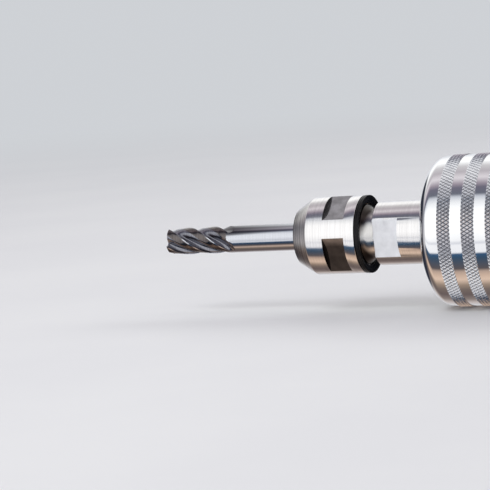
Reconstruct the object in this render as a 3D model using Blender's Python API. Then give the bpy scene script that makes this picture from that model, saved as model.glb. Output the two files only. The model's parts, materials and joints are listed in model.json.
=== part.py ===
"""A keyless drill chuck on a taper arbor, holding a collet holder with its nut and an end mill.

The chuck's axis is X.  The tool points towards -X and the arbor's tail towards +X.
The origin is on the axis, at the gauge plane of the arbor's Morse taper.
All sizes below are millimetres; MM turns them into Blender's metres.
"""

import math

import bmesh
import bpy
from mathutils import Matrix

MM = 0.001
SIDES = 36  # facets round a large turned part
FEW_SIDES = 28  # facets round a small one
GAP = 0.3  # left wherever two pieces fit together

# Driving sizes of the chuck
CHUCK_LENGTH = 104.0  # nose to rear face
CHUCK_RADIUS = 27.4
TAPER_STANDOFF = 6.0  # chuck's rear face to the arbor's gauge plane
NOSE = -(CHUCK_LENGTH + TAPER_STANDOFF)
NOSE_FACE_RADIUS = 17.1
DOME_LENGTH = 5.5
DOME_RADIUS = 26.6
HOOD_LENGTH = 56.0
KNURL_WIDTH = 4.7
KNURL_RELIEF = 0.25  # the polished bands lie this much below the knurled ones
HOOD_KNURLS = (8.9, 17.7, 26.5)  # where each knurled band starts, behind the nose
SLEEVE_KNURLS = (62.0, 70.8, 79.6)

# The clamping cone and what runs in it
CONE_ANGLE = math.radians(20.0)
JAW_BACK_AT_NOSE = 8.3
JAW_COUNT = 3
JAW_WIDTH = 8.0
JAW_START = 2.0
JAW_END = 34.0
JAW_CROWN = 9.0  # radius of a jaw's rounded back
SHANK_RADIUS = 6.0  # the straight shank in the jaws
GRIP_RADIUS = SHANK_RADIUS + GAP
CONE_END = 33.0
HOOD_BORE = 24.8

# The drive screw and the chuck body
SCREW_HEAD_START = 35.0
SCREW_HEAD_END = 43.0
SCREW_HEAD_RADIUS = 17.3
SCREW_RADIUS = 10.0
SCREW_END = 64.0
BODY_START = 49.0
BODY_RADIUS = 15.0
SOCKET_DEPTH = 32.5
B18_RADIUS = 8.89
B18_SLOPE = 0.02596

# The thrust bearing
FLANGE_START = 61.0
FLANGE_END = 66.0
RACE_THICKNESS = 2.0
BALL_COUNT = 12
BALL_RADIUS = 1.75
BALL_ORBIT = 18.0

# The collet holder, measured forwards from the nose
HOLDER_RADIUS = 11.6
SHANK_LENGTH = 42.0  # how far the shank reaches behind the nose
SHOULDER = 2.6
NECK_START = 21.0
NECK_END = 22.8
NECK_RADIUS = 9.2
FILLET = 3.6
FILLET_SWEEP = math.radians(60.0)
THREAD_RADIUS = 11.0
HOLDER_FRONT = 41.0
SPANNER_FLAT = (11.3, NECK_START + 0.5)
SPANNER_HALF = 9.2  # half the width across the holder's flats
SPANNER_CLOCKING = math.radians(5.5)  # how far the holder's front flat looks down

# The nut, its ring and the collet
NUT_RADIUS = 14.25
NUT_REAR = 26.9
NUT_CONE = 45.56
NUT_FRONT = 51.9
NUT_FRONT_RADIUS = 10.4
NUT_FLAT = (30.9, 39.2)
NUT_FLAT_HALF = 12.2
NUT_CLOCKING = 14.6  # degrees from horizontal up to the middle of the land that faces -Y
COLLET_FRONT = 51.4
COLLET_REAR = 25.9
COLLET_RADIUS = 8.5
COLLET_ANGLE = math.radians(8.0)
COLLET_TAPER_START = 45.4
COLLET_BORE = 5.3
SLIT = 0.9

# The end mill
MILL_RADIUS = 5.0
MILL_TIP = 105.6
MILL_LENGTH = 72.0
FLUTE_LENGTH = 20.5
FLUTE_RUNOUT = 7.0
HELIX_ANGLE = math.radians(37.0)
MILL_CLOCKING = math.radians(16.0)
FLUTES = 4
# One tooth, from its cutting edge to the next: degrees round, and share of the full radius
TOOTH = ((0, 1.0), (14, 0.98), (38, 0.935), (54, 0.79), (68, 0.67), (80, 0.64), (87, 0.80))

# The Morse taper no. 3 tail
MT3_RADIUS = 11.9125
MT3_SLOPE = 0.0251
MT3_LENGTH = 94.0
TANG_LENGTH = 20.0
TANG_HALF = 3.95
TANG_RADIUS = 9.5
TANG_RUNOUT = 7.0


def clear_scene():
    for old in list(bpy.data.objects):
        bpy.data.objects.remove(old, do_unlink=True)


def material(name, colour, metallic, roughness):
    made = bpy.data.materials.new(name)
    made.use_nodes = True
    shader = made.node_tree.nodes["Principled BSDF"]
    shader.inputs["Base Color"].default_value = (*colour, 1.0)
    shader.inputs["Metallic"].default_value = metallic
    shader.inputs["Roughness"].default_value = roughness
    return made


def add_object(name, bm, finish=None):
    """The bmesh, scaled from millimetres, as an object in the scene."""
    bmesh.ops.scale(bm, vec=(MM, MM, MM), verts=bm.verts)
    bmesh.ops.recalc_face_normals(bm, faces=bm.faces)
    mesh = bpy.data.meshes.new(name)
    bm.to_mesh(mesh)
    bm.free()
    mesh.shade_smooth()
    mesh.set_sharp_from_angle(angle=math.radians(30))
    made = bpy.data.objects.new(name, mesh)
    bpy.context.scene.collection.objects.link(made)
    if finish:
        mesh.materials.append(finish)
    return made


def behind(station):
    """X of a place this far behind the chuck's nose."""
    return NOSE + station


def ahead(station):
    """X of a place this far in front of the chuck's nose."""
    return NOSE - station


def stations_behind(points):
    return [(behind(station), radius) for station, radius in points]


def stations_ahead(points):
    return [(ahead(station), radius) for station, radius in points]


def turned(name, outline, finish=None, sides=SIDES, closed=True):
    """The (x, radius) outline turned about the X axis.  An open outline starts and ends on the axis."""
    bm = bmesh.new()
    corners = [bm.verts.new((x, 0.0, radius)) for x, radius in outline]
    pairs = list(zip(corners, corners[1:]))
    if closed:
        pairs.append((corners[-1], corners[0]))
    edges = [bm.edges.new(pair) for pair in pairs]
    bmesh.ops.spin(
        bm,
        geom=corners + edges,
        cent=(0, 0, 0),
        axis=(1, 0, 0),
        angle=math.tau,
        steps=sides,
        use_merge=True,
    )
    bmesh.ops.remove_doubles(bm, verts=bm.verts, dist=1e-4)
    return add_object(name, bm, finish)


def block(name, low, high, finish=None):
    """A box between two corners."""
    bm = bmesh.new()
    bmesh.ops.create_cube(bm, size=1.0)
    size = [b - a for a, b in zip(low, high)]
    middle = [(a + b) / 2 for a, b in zip(low, high)]
    bmesh.ops.transform(
        bm,
        matrix=Matrix.Translation(middle) @ Matrix.Diagonal((*size, 1.0)),
        verts=bm.verts,
    )
    return add_object(name, bm, finish)


def extruded(name, outline, half_width):
    """An outline of (x, z) points, extruded along Y to both sides."""
    bm = bmesh.new()
    face = bm.faces.new([bm.verts.new((x, -half_width, z)) for x, z in outline])
    grown = bmesh.ops.extrude_face_region(bm, geom=[face])["geom"]
    moved = [item for item in grown if isinstance(item, bmesh.types.BMVert)]
    bmesh.ops.translate(bm, vec=(0, 2 * half_width, 0), verts=moved)
    return add_object(name, bm)


def turn_about_axis(piece, angle):
    """Turns a piece about the chuck's axis, on which its origin lies."""
    piece.rotation_euler = (angle, 0.0, 0.0)
    return piece


def cut(target, cutter):
    cutter.hide_render = True
    cutter.display_type = "WIRE"
    boolean = target.modifiers.new("cut by " + cutter.name, "BOOLEAN")
    boolean.operation = "DIFFERENCE"
    boolean.solver = "EXACT"
    boolean.object = cutter


def jaw_back(station):
    """Radius of the line that a jaw's back slides on."""
    return JAW_BACK_AT_NOSE + station * math.tan(CONE_ANGLE)


def jaw_angle(index):
    return index * math.tau / JAW_COUNT


def banded(starts, radius, end):
    """Outline points of raised knurled bands up to end, for a turned part of this radius."""
    points = []
    low = radius - KNURL_RELIEF
    for start in starts:
        points += [
            (start - KNURL_RELIEF, low),
            (start, radius),
            (start + KNURL_WIDTH, radius),
            (start + KNURL_WIDTH + KNURL_RELIEF, low),
        ]
    return points + [(end, low)]


# ---------------------------------------------------------------- arbor and chuck body


def make_arbor(steel):
    """Short B18 taper for the chuck, collar, and a Morse taper no. 3 tail with its tang."""
    rear_face = -TAPER_STANDOFF
    taper_front = rear_face - SOCKET_DEPTH + 1.5
    tang_start = MT3_LENGTH - TANG_LENGTH
    b18_front_radius = B18_RADIUS - (rear_face - taper_front) * B18_SLOPE
    outline = [
        (taper_front, 0.0),
        (taper_front, b18_front_radius - 0.6),
        (taper_front + 0.6, b18_front_radius),
        (rear_face, B18_RADIUS),
        (rear_face + GAP, B18_RADIUS),
        (rear_face + GAP, MT3_RADIUS),
        (rear_face + 1.0, MT3_RADIUS + 0.6),
        (-1.0, MT3_RADIUS + 0.6),
        (0.0, MT3_RADIUS),
        (tang_start, MT3_RADIUS - tang_start * MT3_SLOPE),
        (tang_start + 0.5, TANG_RADIUS),
        (MT3_LENGTH - 1.5, TANG_RADIUS),
        (MT3_LENGTH, TANG_RADIUS - 1.5),
        (MT3_LENGTH, 0.0),
    ]
    arbor = turned("arbor", outline, steel, closed=False)
    for side, label in ((1, "upper"), (-1, "lower")):
        run_out = [
            (
                tang_start + TANG_RUNOUT * (1 - math.sin(step * math.pi / 8)),
                side * (TANG_HALF + TANG_RUNOUT * (1 - math.cos(step * math.pi / 8))),
            )
            for step in range(5)
        ]
        corners = [
            (tang_start, side * 2 * TANG_RADIUS),
            (MT3_LENGTH + 1, side * 2 * TANG_RADIUS),
            (MT3_LENGTH + 1, side * TANG_HALF),
        ]
        cut(arbor, extruded(f"tang_cutter_{label}", corners + run_out, 2 * TANG_RADIUS))
    return arbor


def make_chuck_body(steel):
    """The core: taper socket behind, screw bore in front, bearing flange outside."""
    socket_front = CHUCK_LENGTH - SOCKET_DEPTH
    socket_small = B18_RADIUS - SOCKET_DEPTH * B18_SLOPE + GAP
    bore = SCREW_RADIUS + GAP
    vent = 4.0
    outline = [
        (BODY_START, bore),
        (BODY_START, BODY_RADIUS - 1.0),
        (BODY_START + 1.0, BODY_RADIUS),
        (FLANGE_START, BODY_RADIUS),
        (FLANGE_START, 20.2),
        (FLANGE_END, 20.2),
        (FLANGE_END, BODY_RADIUS),
        (97.9, BODY_RADIUS),
        (97.9, 14.0),
        (99.5, 14.0),
        (99.5, BODY_RADIUS),
        (CHUCK_LENGTH - 1.0, BODY_RADIUS),
        (CHUCK_LENGTH, BODY_RADIUS - 1.0),
        (CHUCK_LENGTH, B18_RADIUS + GAP),
        (socket_front, socket_small),
        (socket_front, vent),
        (socket_front - 1.5, vent),
        (socket_front - 1.5, bore),
    ]
    body = turned("chuck_body", stations_behind(outline), steel)
    flat_half = 13.0
    for side, label in ((1, "upper"), (-1, "lower")):
        heights = sorted((side * flat_half, side * 2 * BODY_RADIUS))
        low = (behind(100.2), -2 * BODY_RADIUS, heights[0])
        high = (behind(CHUCK_LENGTH + 1), 2 * BODY_RADIUS, heights[1])
        cut(body, block(f"body_flat_cutter_{label}", low, high))
    return body


def make_rear_rings(black, spring_steel):
    """The dust ring behind the grip sleeve, and the snap ring that keeps it on the body."""
    bore = BODY_RADIUS + GAP
    dust = [
        (95.4, bore),
        (95.4, 20.6),
        (96.2, 21.4),
        (97.6, 20.0),
        (97.6, bore),
    ]
    turned("dust_ring", stations_behind(dust), black)
    snap = [(98.1, 14.2), (98.1, 16.6), (99.3, 16.6), (99.3, 14.2)]
    ring = turned("snap_ring", stations_behind(snap), spring_steel)
    gap_low = (behind(97.0), -1.5, 0.0)
    gap_high = (behind(100.0), 1.5, 2 * BODY_RADIUS)
    cut(ring, block("snap_ring_gap_cutter", gap_low, gap_high))


# ---------------------------------------------------------------- the turning sleeve


def make_hood(chrome):
    """The domed front shell, with the clamping cone inside."""
    dome_steps = 7
    dome_height = DOME_RADIUS - NOSE_FACE_RADIUS
    dome = [
        (
            DOME_LENGTH * (1 - math.cos(step * math.pi / 2 / dome_steps)),
            NOSE_FACE_RADIUS + dome_height * math.sin(step * math.pi / 2 / dome_steps),
        )
        for step in range(dome_steps + 1)
    ]
    mouth = JAW_START + 0.6
    outline = (
        [(0.0, 11.6)]
        + dome
        + banded(HOOD_KNURLS, CHUCK_RADIUS, HOOD_LENGTH - 0.8)
        + [
            (HOOD_LENGTH, CHUCK_RADIUS - 1.0),
            (HOOD_LENGTH, HOOD_BORE),
            (CONE_END, HOOD_BORE),
            (CONE_END, jaw_back(CONE_END) + GAP),
            (mouth, jaw_back(mouth) + GAP),
        ]
    )
    return turned("hood", stations_behind(outline), chrome)


def make_grip_sleeve(chrome):
    """The rear shell.  Its spigot screws into the hood, and its shoulder bears on the race."""
    outer = CHUCK_RADIUS - 0.5
    inner = 21.0
    spigot = HOOD_BORE - GAP
    tail_bore = BODY_RADIUS + 0.4
    outline = (
        [
            (45.0, inner),
            (45.0, spigot - 0.6),
            (45.6, spigot),
            (HOOD_LENGTH + GAP, spigot),
            (HOOD_LENGTH + GAP, outer - 0.9),
            (HOOD_LENGTH + GAP + 0.7, outer - KNURL_RELIEF),
        ]
        + banded(SLEEVE_KNURLS, outer, 89.0)
        + [
            (92.5, 25.0),
            (95.0, 22.0),
            (95.0, tail_bore),
            (90.3, tail_bore),
            (90.3, 17.2),
            (88.0, 17.2),
            (88.0, tail_bore),
            (74.7, tail_bore),
            (74.7, inner),
        ]
    )
    return turned("grip_sleeve", stations_behind(outline), chrome)


def make_seal(rubber):
    """The O-ring in the grip sleeve's tail groove."""
    tube = 0.8
    steps = 8
    outline = [
        (
            89.15 + tube * math.cos(step * math.tau / steps),
            16.15 + tube * math.sin(step * math.tau / steps),
        )
        for step in range(steps)
    ]
    return turned("sleeve_seal", stations_behind(outline), rubber, FEW_SIDES)


def make_jaw_guide(steel):
    """Three wedges that fill the cone between the jaws, held together by a rim behind."""
    front = 8.0
    bore = GRIP_RADIUS + 1.3
    head_clearance = SCREW_HEAD_RADIUS + 0.6
    rim = HOOD_BORE - GAP
    rim_front = CONE_END + GAP
    rim_rear = 36.5
    outline = [
        (front, bore),
        (CONE_END, bore),
        (CONE_END, head_clearance),
        (rim_rear, head_clearance),
        (rim_rear, rim),
        (rim_front, rim),
        (rim_front, jaw_back(rim_front)),
        (front, jaw_back(front)),
    ]
    guide = turned("jaw_guide", stations_behind(outline), steel)
    half_width = JAW_WIDTH / 2 + GAP
    slot_top = 23.2
    for index in range(JAW_COUNT):
        low = (behind(front - 1), -half_width, 0.0)
        high = (behind(rim_rear + 1), half_width, slot_top)
        slot = block(f"jaw_slot_cutter_{index + 1}", low, high)
        cut(guide, turn_about_axis(slot, jaw_angle(index)))
    return guide


# ---------------------------------------------------------------- jaws, screw and bearing


def jaw_section(station):
    """Points (y, z) round a jaw at one station: V-shaped grip below, crowned back above."""
    half = JAW_WIDTH / 2
    grip_half = 1.5
    shoulder = GRIP_RADIUS + (half - grip_half) / math.tan(math.radians(60))
    back = jaw_back(station)
    inner = half * 0.55

    def crown(y):
        return back - JAW_CROWN + math.sqrt(JAW_CROWN**2 - y**2)

    return [
        (-grip_half, GRIP_RADIUS),
        (grip_half, GRIP_RADIUS),
        (half, shoulder),
        (half, crown(half)),
        (inner, crown(inner)),
        (0.0, back),
        (-inner, crown(inner)),
        (-half, crown(half)),
        (-half, shoulder),
    ]


def make_jaw(index, steel):
    """One jaw with the T-shaped tail that hangs in the drive screw's head."""
    bm = bmesh.new()
    ends = []
    for station in (JAW_START, JAW_END):
        section = jaw_section(station)
        ends.append([bm.verts.new((behind(station), y, z)) for y, z in section])
    count = len(ends[0])
    bm.faces.new(ends[0])
    bm.faces.new(list(reversed(ends[1])))
    for k in range(count):
        after = (k + 1) % count
        bm.faces.new((ends[0][k], ends[1][k], ends[1][after], ends[0][after]))
    jaw = turn_about_axis(add_object(f"jaw_{index + 1}", bm, steel), jaw_angle(index))
    tail_low, tail_high = 9.0, 15.0
    neck_half, head_half = 2.0, 3.8
    head_start, head_end = 37.9, 40.4
    neck = block(
        f"jaw_neck_{index + 1}",
        (behind(JAW_END - 1.0), -neck_half, tail_low),
        (behind(head_start + 0.5), neck_half, tail_high),
    )
    head = block(
        f"jaw_head_{index + 1}",
        (behind(head_start), -head_half, tail_low - 0.01),
        (behind(head_end), head_half, tail_high + 0.01),
    )
    for extra in (neck, head):
        turn_about_axis(extra, jaw_angle(index))
        cut(jaw, extra)
        jaw.modifiers[-1].operation = "UNION"
    return jaw


def make_drive_screw(steel):
    """The left-hand screw whose head carries the jaws in three radial T-slots."""
    front_bore = SHANK_RADIUS + 0.5
    bore_end = 56.0
    outline = [
        (SCREW_HEAD_START, front_bore),
        (SCREW_HEAD_START, SCREW_HEAD_RADIUS - 0.8),
        (SCREW_HEAD_START + 0.8, SCREW_HEAD_RADIUS),
        (SCREW_HEAD_END - 0.8, SCREW_HEAD_RADIUS),
        (SCREW_HEAD_END, SCREW_HEAD_RADIUS - 0.8),
        (SCREW_HEAD_END, SCREW_RADIUS),
        (SCREW_END - 0.8, SCREW_RADIUS),
        (SCREW_END, SCREW_RADIUS - 0.8),
        (SCREW_END, 4.0),
        (bore_end, 4.0),
        (bore_end, front_bore),
    ]
    screw = turned("drive_screw", stations_behind(outline), steel, FEW_SIDES)
    slot_foot = 8.0
    neck_half, head_half = 2.3, 4.1
    for index in range(JAW_COUNT):
        neck = block(
            f"t_slot_neck_cutter_{index + 1}",
            (behind(SCREW_HEAD_START - 1), -neck_half, slot_foot),
            (behind(39.0), neck_half, 2 * SCREW_HEAD_RADIUS),
        )
        head = block(
            f"t_slot_head_cutter_{index + 1}",
            (behind(37.6), -head_half, slot_foot - 0.01),
            (behind(40.7), head_half, 2 * SCREW_HEAD_RADIUS),
        )
        for cutter in (neck, head):
            cut(screw, turn_about_axis(cutter, jaw_angle(index)))
    return screw


def make_thrust_bearing(steel, brass):
    """Two races, a cage and its balls, behind the chuck body's flange."""
    race_inner, race_outer = BODY_RADIUS + 0.4, 20.5
    front = FLANGE_END + GAP
    ball_centre = front + RACE_THICKNESS + GAP + BALL_RADIUS
    rear = ball_centre + BALL_RADIUS + GAP
    for name, start in (("race_front", front), ("race_rear", rear)):
        outline = [
            (start, race_inner),
            (start, race_outer),
            (start + RACE_THICKNESS, race_outer),
            (start + RACE_THICKNESS, race_inner),
        ]
        turned(name, stations_behind(outline), steel, FEW_SIDES)
    cage_half = 0.7
    cage_outline = [
        (ball_centre - cage_half, BODY_RADIUS + 0.5),
        (ball_centre - cage_half, 20.5),
        (ball_centre + cage_half, 20.5),
        (ball_centre + cage_half, BODY_RADIUS + 0.5),
    ]
    cage = turned("ball_cage", stations_behind(cage_outline), brass)
    for index in range(BALL_COUNT):
        angle = (index + 0.5) * math.tau / BALL_COUNT
        place = (behind(ball_centre), BALL_ORBIT * math.cos(angle), BALL_ORBIT * math.sin(angle))
        ball = bmesh.new()
        bmesh.ops.create_icosphere(ball, subdivisions=2, radius=BALL_RADIUS)
        made = add_object(f"ball_{index + 1:02d}", ball, steel)
        made.location = [value * MM for value in place]
        pocket = bmesh.new()
        bmesh.ops.create_cone(
            pocket,
            cap_ends=True,
            segments=12,
            radius1=BALL_RADIUS + GAP,
            radius2=BALL_RADIUS + GAP,
            depth=6 * cage_half,
            matrix=Matrix.Rotation(math.pi / 2, 4, "Y"),
        )
        cutter = add_object(f"ball_pocket_cutter_{index + 1:02d}", pocket)
        cutter.location = made.location
        cut(cage, cutter)


# ---------------------------------------------------------------- collet holder and tool


def socket_radius(station):
    """Radius of the holder's collet taper at a station in front of the nose."""
    return COLLET_RADIUS - (COLLET_TAPER_START - station) * math.tan(COLLET_ANGLE) + GAP


def make_holder_body(steel):
    """Straight shank, ground body with two spanner flats, neck, thread and collet taper."""
    bore = 4.1
    socket_end = 22.6
    fillet_steps = 4
    fillet = []
    for step in range(fillet_steps + 1):
        angle = FILLET_SWEEP * step / fillet_steps
        station = NECK_END + FILLET * math.sin(angle)
        fillet.append((station, NECK_RADIUS + FILLET * (1 - math.cos(angle))))
    outline = (
        [
            (-SHANK_LENGTH, bore),
            (-SHANK_LENGTH, SHANK_RADIUS - 0.6),
            (-SHANK_LENGTH + 0.6, SHANK_RADIUS),
            (SHOULDER, SHANK_RADIUS),
            (SHOULDER, HOLDER_RADIUS - 0.6),
            (SHOULDER + 0.6, HOLDER_RADIUS),
            (NECK_START - 0.3, HOLDER_RADIUS),
            (NECK_START, HOLDER_RADIUS - 0.3),
            (NECK_START, NECK_RADIUS),
        ]
        + fillet
        + [
            (HOLDER_FRONT - 0.8, THREAD_RADIUS),
            (HOLDER_FRONT, THREAD_RADIUS - 0.8),
            (HOLDER_FRONT, socket_radius(HOLDER_FRONT)),
            (socket_end, socket_radius(socket_end)),
            (socket_end, bore),
        ]
    )
    holder = turned("holder_body", stations_ahead(outline), steel)
    rear, front = SPANNER_FLAT
    for side, label in ((1, "back"), (-1, "front")):
        depths = sorted((side * SPANNER_HALF, side * 2 * HOLDER_RADIUS))
        low = (ahead(front), depths[0], -2 * HOLDER_RADIUS)
        high = (ahead(rear), depths[1], 2 * HOLDER_RADIUS)
        flat = block(f"spanner_flat_cutter_{label}", low, high)
        cut(holder, turn_about_axis(flat, SPANNER_CLOCKING))
    return holder


def make_back_ring(black):
    """The black ring behind the nut, dished on the side that faces the neck."""
    bore = THREAD_RADIUS + 0.4
    outline = [
        (26.6, bore),
        (26.6, NUT_RADIUS - 0.3),
        (26.3, NUT_RADIUS),
        (25.2, NUT_RADIUS),
        (25.0, NUT_RADIUS - 0.2),
        (25.0, NUT_RADIUS - 0.7),
        (25.7, bore),
    ]
    return turned("back_ring", stations_ahead(outline), black)


def make_stop_screw(black):
    """The set screw in the holder's bore that the tool's end can be set against."""
    radius = 3.8
    outline = [
        (22.0, 0.0),
        (22.0, radius - 0.6),
        (21.4, radius),
        (10.6, radius),
        (10.0, radius - 0.6),
        (10.0, 0.0),
    ]
    screw = turned("stop_screw", stations_ahead(outline), black, FEW_SIDES, closed=False)
    key = bmesh.new()
    bmesh.ops.create_cone(
        key,
        cap_ends=True,
        segments=6,
        radius1=2.3,
        radius2=2.3,
        depth=8.0,
        matrix=Matrix.Translation((ahead(10.0), 0, 0)) @ Matrix.Rotation(math.pi / 2, 4, "Y"),
    )
    cut(screw, add_object("hex_socket_cutter", key))
    return screw


def make_collet(steel):
    """The spring collet: two opposed cones, a pull-out groove, and slits from both ends."""
    rear_radius = COLLET_RADIUS - (COLLET_TAPER_START - COLLET_REAR) * math.tan(COLLET_ANGLE)
    groove_radius = 7.3
    outline = [
        (COLLET_FRONT, COLLET_BORE),
        (COLLET_FRONT, 6.9),
        (48.6, COLLET_RADIUS),
        (47.9, COLLET_RADIUS),
        (47.9, groove_radius),
        (45.9, groove_radius),
        (45.9, COLLET_RADIUS),
        (COLLET_TAPER_START, COLLET_RADIUS),
        (COLLET_REAR, rear_radius),
        (COLLET_REAR, COLLET_BORE),
    ]
    collet = turned("collet", stations_ahead(outline), steel)
    reach = 2 * COLLET_RADIUS
    spans = {"front": (COLLET_REAR + 5.0, COLLET_FRONT + 1), "rear": (COLLET_REAR - 1, 43.0)}
    for turn in range(4):
        label = ("front", "rear")[turn % 2]
        near, far = spans[label]
        low = (ahead(far), -SLIT / 2, -reach)
        high = (ahead(near), SLIT / 2, reach)
        slit = block(f"slit_cutter_{label}_{turn + 1}", low, high)
        cut(collet, turn_about_axis(slit, math.radians(12) + turn * math.pi / 4))
    return collet


def make_collet_nut(steel):
    """The clamping nut, coned at the front, with four spanner flats in its middle."""
    outline = [
        (NUT_REAR, THREAD_RADIUS + GAP),
        (NUT_REAR, NUT_RADIUS - 0.3),
        (NUT_REAR + 0.3, NUT_RADIUS),
        (NUT_CONE, NUT_RADIUS),
        (NUT_FRONT, NUT_FRONT_RADIUS),
        (NUT_FRONT, 6.97),
        (49.0, 8.62),
        (49.0, 10.3),
        (45.0, 10.3),
        (45.0, THREAD_RADIUS + GAP),
    ]
    nut = turned("collet_nut", stations_ahead(outline), steel)
    near, far = NUT_FLAT
    reach = 2 * NUT_RADIUS
    for index in range(4):
        low = (ahead(far), -reach, NUT_FLAT_HALF)
        high = (ahead(near), reach, reach)
        flat = block(f"nut_flat_cutter_{index + 1}", low, high)
        middle = math.radians(45 - NUT_CLOCKING) + index * math.pi / 2
        cut(nut, turn_about_axis(flat, middle))
    return nut


def make_extractor_ring(black):
    """The ring inside the nut that hooks into the collet's groove and pulls it out."""
    outline = [(46.2, 7.7), (46.2, 10.0), (47.6, 10.0), (47.6, 7.7)]
    return turned("extractor_ring", stations_ahead(outline), black, FEW_SIDES)


def make_end_mill(carbide):
    """The four-flute end mill: round shank, flutes that run out, and a hollow end face."""
    flute_end = MILL_TIP - FLUTE_LENGTH
    shank_front = flute_end - FLUTE_RUNOUT
    twist = math.tan(HELIX_ANGLE) / MILL_RADIUS
    flute_steps, runout_steps = 16, 5
    stations = [MILL_TIP - FLUTE_LENGTH * k / flute_steps for k in range(flute_steps + 1)]
    stations += [flute_end - FLUTE_RUNOUT * (k + 1) / runout_steps for k in range(runout_steps)]
    shank_rear = MILL_TIP - MILL_LENGTH
    bm = bmesh.new()
    rings = []
    for station in stations + [shank_rear + 0.6, shank_rear]:
        depth = min(1.0, max(0.0, (station - shank_front) / FLUTE_RUNOUT)) ** 0.7
        turn = MILL_CLOCKING + (MILL_TIP - max(station, shank_front)) * twist
        edge = 1.0 if station > shank_rear else 0.88
        ring = []
        for flute in range(FLUTES):
            for degrees, share in TOOTH:
                angle = turn + flute * math.tau / FLUTES + math.radians(degrees)
                radius = MILL_RADIUS * (1 - (1 - share) * depth) * edge
                spot = (ahead(station), radius * math.cos(angle), radius * math.sin(angle))
                ring.append(bm.verts.new(spot))
        rings.append(ring)
    count = len(rings[0])
    for front_ring, rear_ring in zip(rings, rings[1:]):
        for k in range(count):
            after = (k + 1) % count
            bm.faces.new((front_ring[k], front_ring[after], rear_ring[after]))
            bm.faces.new((front_ring[k], rear_ring[after], rear_ring[k]))
    tip = bm.verts.new((ahead(MILL_TIP - 0.5), 0, 0))
    tail = bm.verts.new((ahead(shank_rear), 0, 0))
    for k in range(count):
        after = (k + 1) % count
        bm.faces.new((tip, rings[0][after], rings[0][k]))
        bm.faces.new((tail, rings[-1][k], rings[-1][after]))
    return add_object("end_mill", bm, carbide)


def main():
    clear_scene()
    chrome = material("chrome", (0.86, 0.87, 0.88), 1.0, 0.08)
    ground = material("ground_steel", (0.72, 0.71, 0.70), 1.0, 0.25)
    plain = material("plain_steel", (0.45, 0.45, 0.46), 1.0, 0.4)
    black = material("black_oxide", (0.03, 0.03, 0.035), 0.8, 0.3)
    carbide = material("carbide", (0.55, 0.54, 0.54), 1.0, 0.2)
    brass = material("brass", (0.7, 0.52, 0.22), 1.0, 0.35)
    rubber = material("rubber", (0.02, 0.02, 0.02), 0.0, 0.6)
    make_arbor(ground)
    make_chuck_body(plain)
    make_rear_rings(black, plain)
    make_hood(chrome)
    make_grip_sleeve(chrome)
    make_seal(rubber)
    make_jaw_guide(plain)
    for index in range(JAW_COUNT):
        make_jaw(index, plain)
    make_drive_screw(plain)
    make_thrust_bearing(plain, brass)
    make_holder_body(ground)
    make_back_ring(black)
    make_stop_screw(black)
    make_collet(ground)
    make_collet_nut(ground)
    make_extractor_ring(black)
    make_end_mill(carbide)


main()
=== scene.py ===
"""The looks of the keyless drill chuck, its collet holder and its end mill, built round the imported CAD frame.

The chuck's axis is X, and the tool points towards -X.  Lengths in outlines are millimetres.  Along the axis
they are counted from the chuck's nose: towards the tail for the chuck's own pieces, and towards the tip for
the held tool.
"""

import json
import math

import bmesh
import bpy
import numpy as np
from mathutils import Matrix, Vector

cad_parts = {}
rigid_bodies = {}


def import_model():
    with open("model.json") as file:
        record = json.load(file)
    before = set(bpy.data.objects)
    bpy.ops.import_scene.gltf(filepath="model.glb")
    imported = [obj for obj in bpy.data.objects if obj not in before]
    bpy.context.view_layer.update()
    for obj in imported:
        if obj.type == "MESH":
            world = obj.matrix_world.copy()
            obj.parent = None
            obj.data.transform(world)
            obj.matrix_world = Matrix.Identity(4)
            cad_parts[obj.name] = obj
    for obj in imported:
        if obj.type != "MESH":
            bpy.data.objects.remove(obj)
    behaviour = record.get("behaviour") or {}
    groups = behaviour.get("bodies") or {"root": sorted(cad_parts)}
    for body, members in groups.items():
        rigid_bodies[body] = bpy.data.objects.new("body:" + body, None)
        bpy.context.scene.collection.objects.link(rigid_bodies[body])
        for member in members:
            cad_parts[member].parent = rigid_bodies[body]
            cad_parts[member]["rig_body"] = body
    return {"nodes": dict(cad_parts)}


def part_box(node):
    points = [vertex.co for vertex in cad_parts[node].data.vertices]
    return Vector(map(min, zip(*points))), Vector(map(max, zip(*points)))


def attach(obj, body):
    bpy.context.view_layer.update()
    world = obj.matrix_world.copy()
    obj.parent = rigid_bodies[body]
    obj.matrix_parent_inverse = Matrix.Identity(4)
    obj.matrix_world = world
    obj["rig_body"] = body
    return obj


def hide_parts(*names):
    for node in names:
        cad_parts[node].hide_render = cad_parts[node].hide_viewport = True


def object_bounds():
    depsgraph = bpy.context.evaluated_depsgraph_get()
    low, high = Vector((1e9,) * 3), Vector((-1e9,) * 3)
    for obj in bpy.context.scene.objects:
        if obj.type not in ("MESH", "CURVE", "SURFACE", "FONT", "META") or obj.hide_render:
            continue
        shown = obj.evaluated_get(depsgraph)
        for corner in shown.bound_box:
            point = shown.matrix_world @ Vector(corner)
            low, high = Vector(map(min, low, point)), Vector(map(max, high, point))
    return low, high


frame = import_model()
CAD_LOW, CAD_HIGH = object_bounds()

MM = 0.001
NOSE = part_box("hood")[0].x  # X of the chuck's nose face

# Diamond knurling
KNURL_COUNT = 126  # diamonds round a band
KNURL_COLUMNS = 4  # half diamonds across a band
KNURL_FINE = 3  # mesh steps to half a diamond
KNURL_WIDTH = 4.7
KNURL_DEPTH = 0.42
KNURL_RELIEF = 0.25
KNURL_SIDES = 2 * KNURL_COUNT * KNURL_FINE

MILL_CLOCKING = 16.0  # degrees that the end mill is turned by
NUT_RADIUS = 14.25
CUT_REACH = 40 * MM  # further from the axis than any piece

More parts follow.
